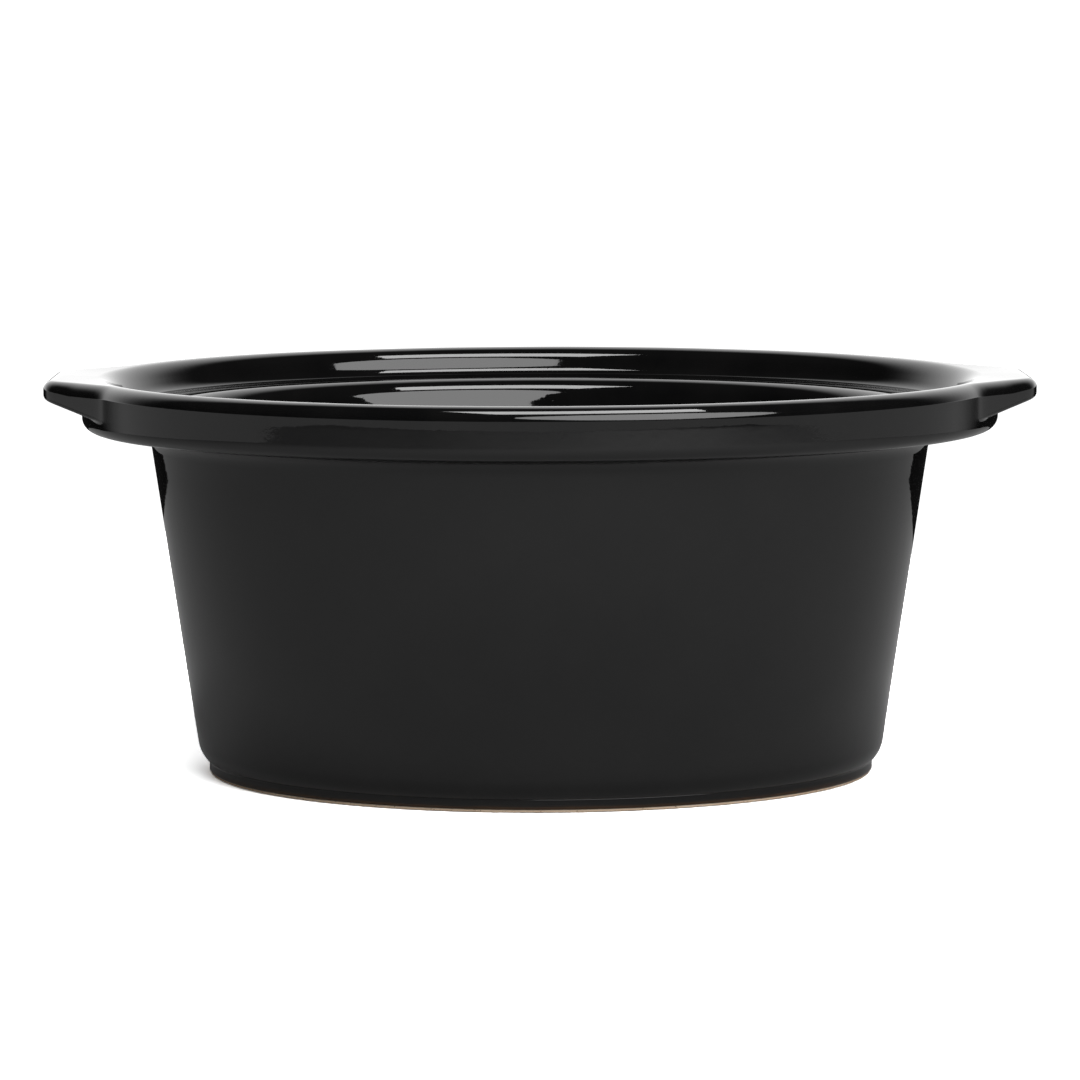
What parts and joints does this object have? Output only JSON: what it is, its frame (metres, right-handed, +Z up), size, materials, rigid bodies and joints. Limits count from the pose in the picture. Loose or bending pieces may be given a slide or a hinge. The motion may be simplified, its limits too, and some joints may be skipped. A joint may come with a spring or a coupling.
{
  "type": "slow cooker crock",
  "caption": "Oval stoneware crock insert of a slow cooker: tapered glazed pot with a deep collar, lid ledge, two end lugs and an inset bare foot ring.",
  "frame": {"origin": "centre of the crock's footprint, on the plane that its foot ring stands on", "axes": "+X along the oval's length, through both lugs; +Y across its depth; +Z up"},
  "size_m": [0.364, 0.272, 0.148],
  "materials": {
    "bare_stoneware": "dry fired tan clay, fine grit",
    "black_glaze": "high gloss"
  },
  "bodies": {
    "root": {"stoneware_body": "bare_stoneware", "glaze_coat": "black_glaze", "base_glaze": "black_glaze"}
  },
  "joints": []
}
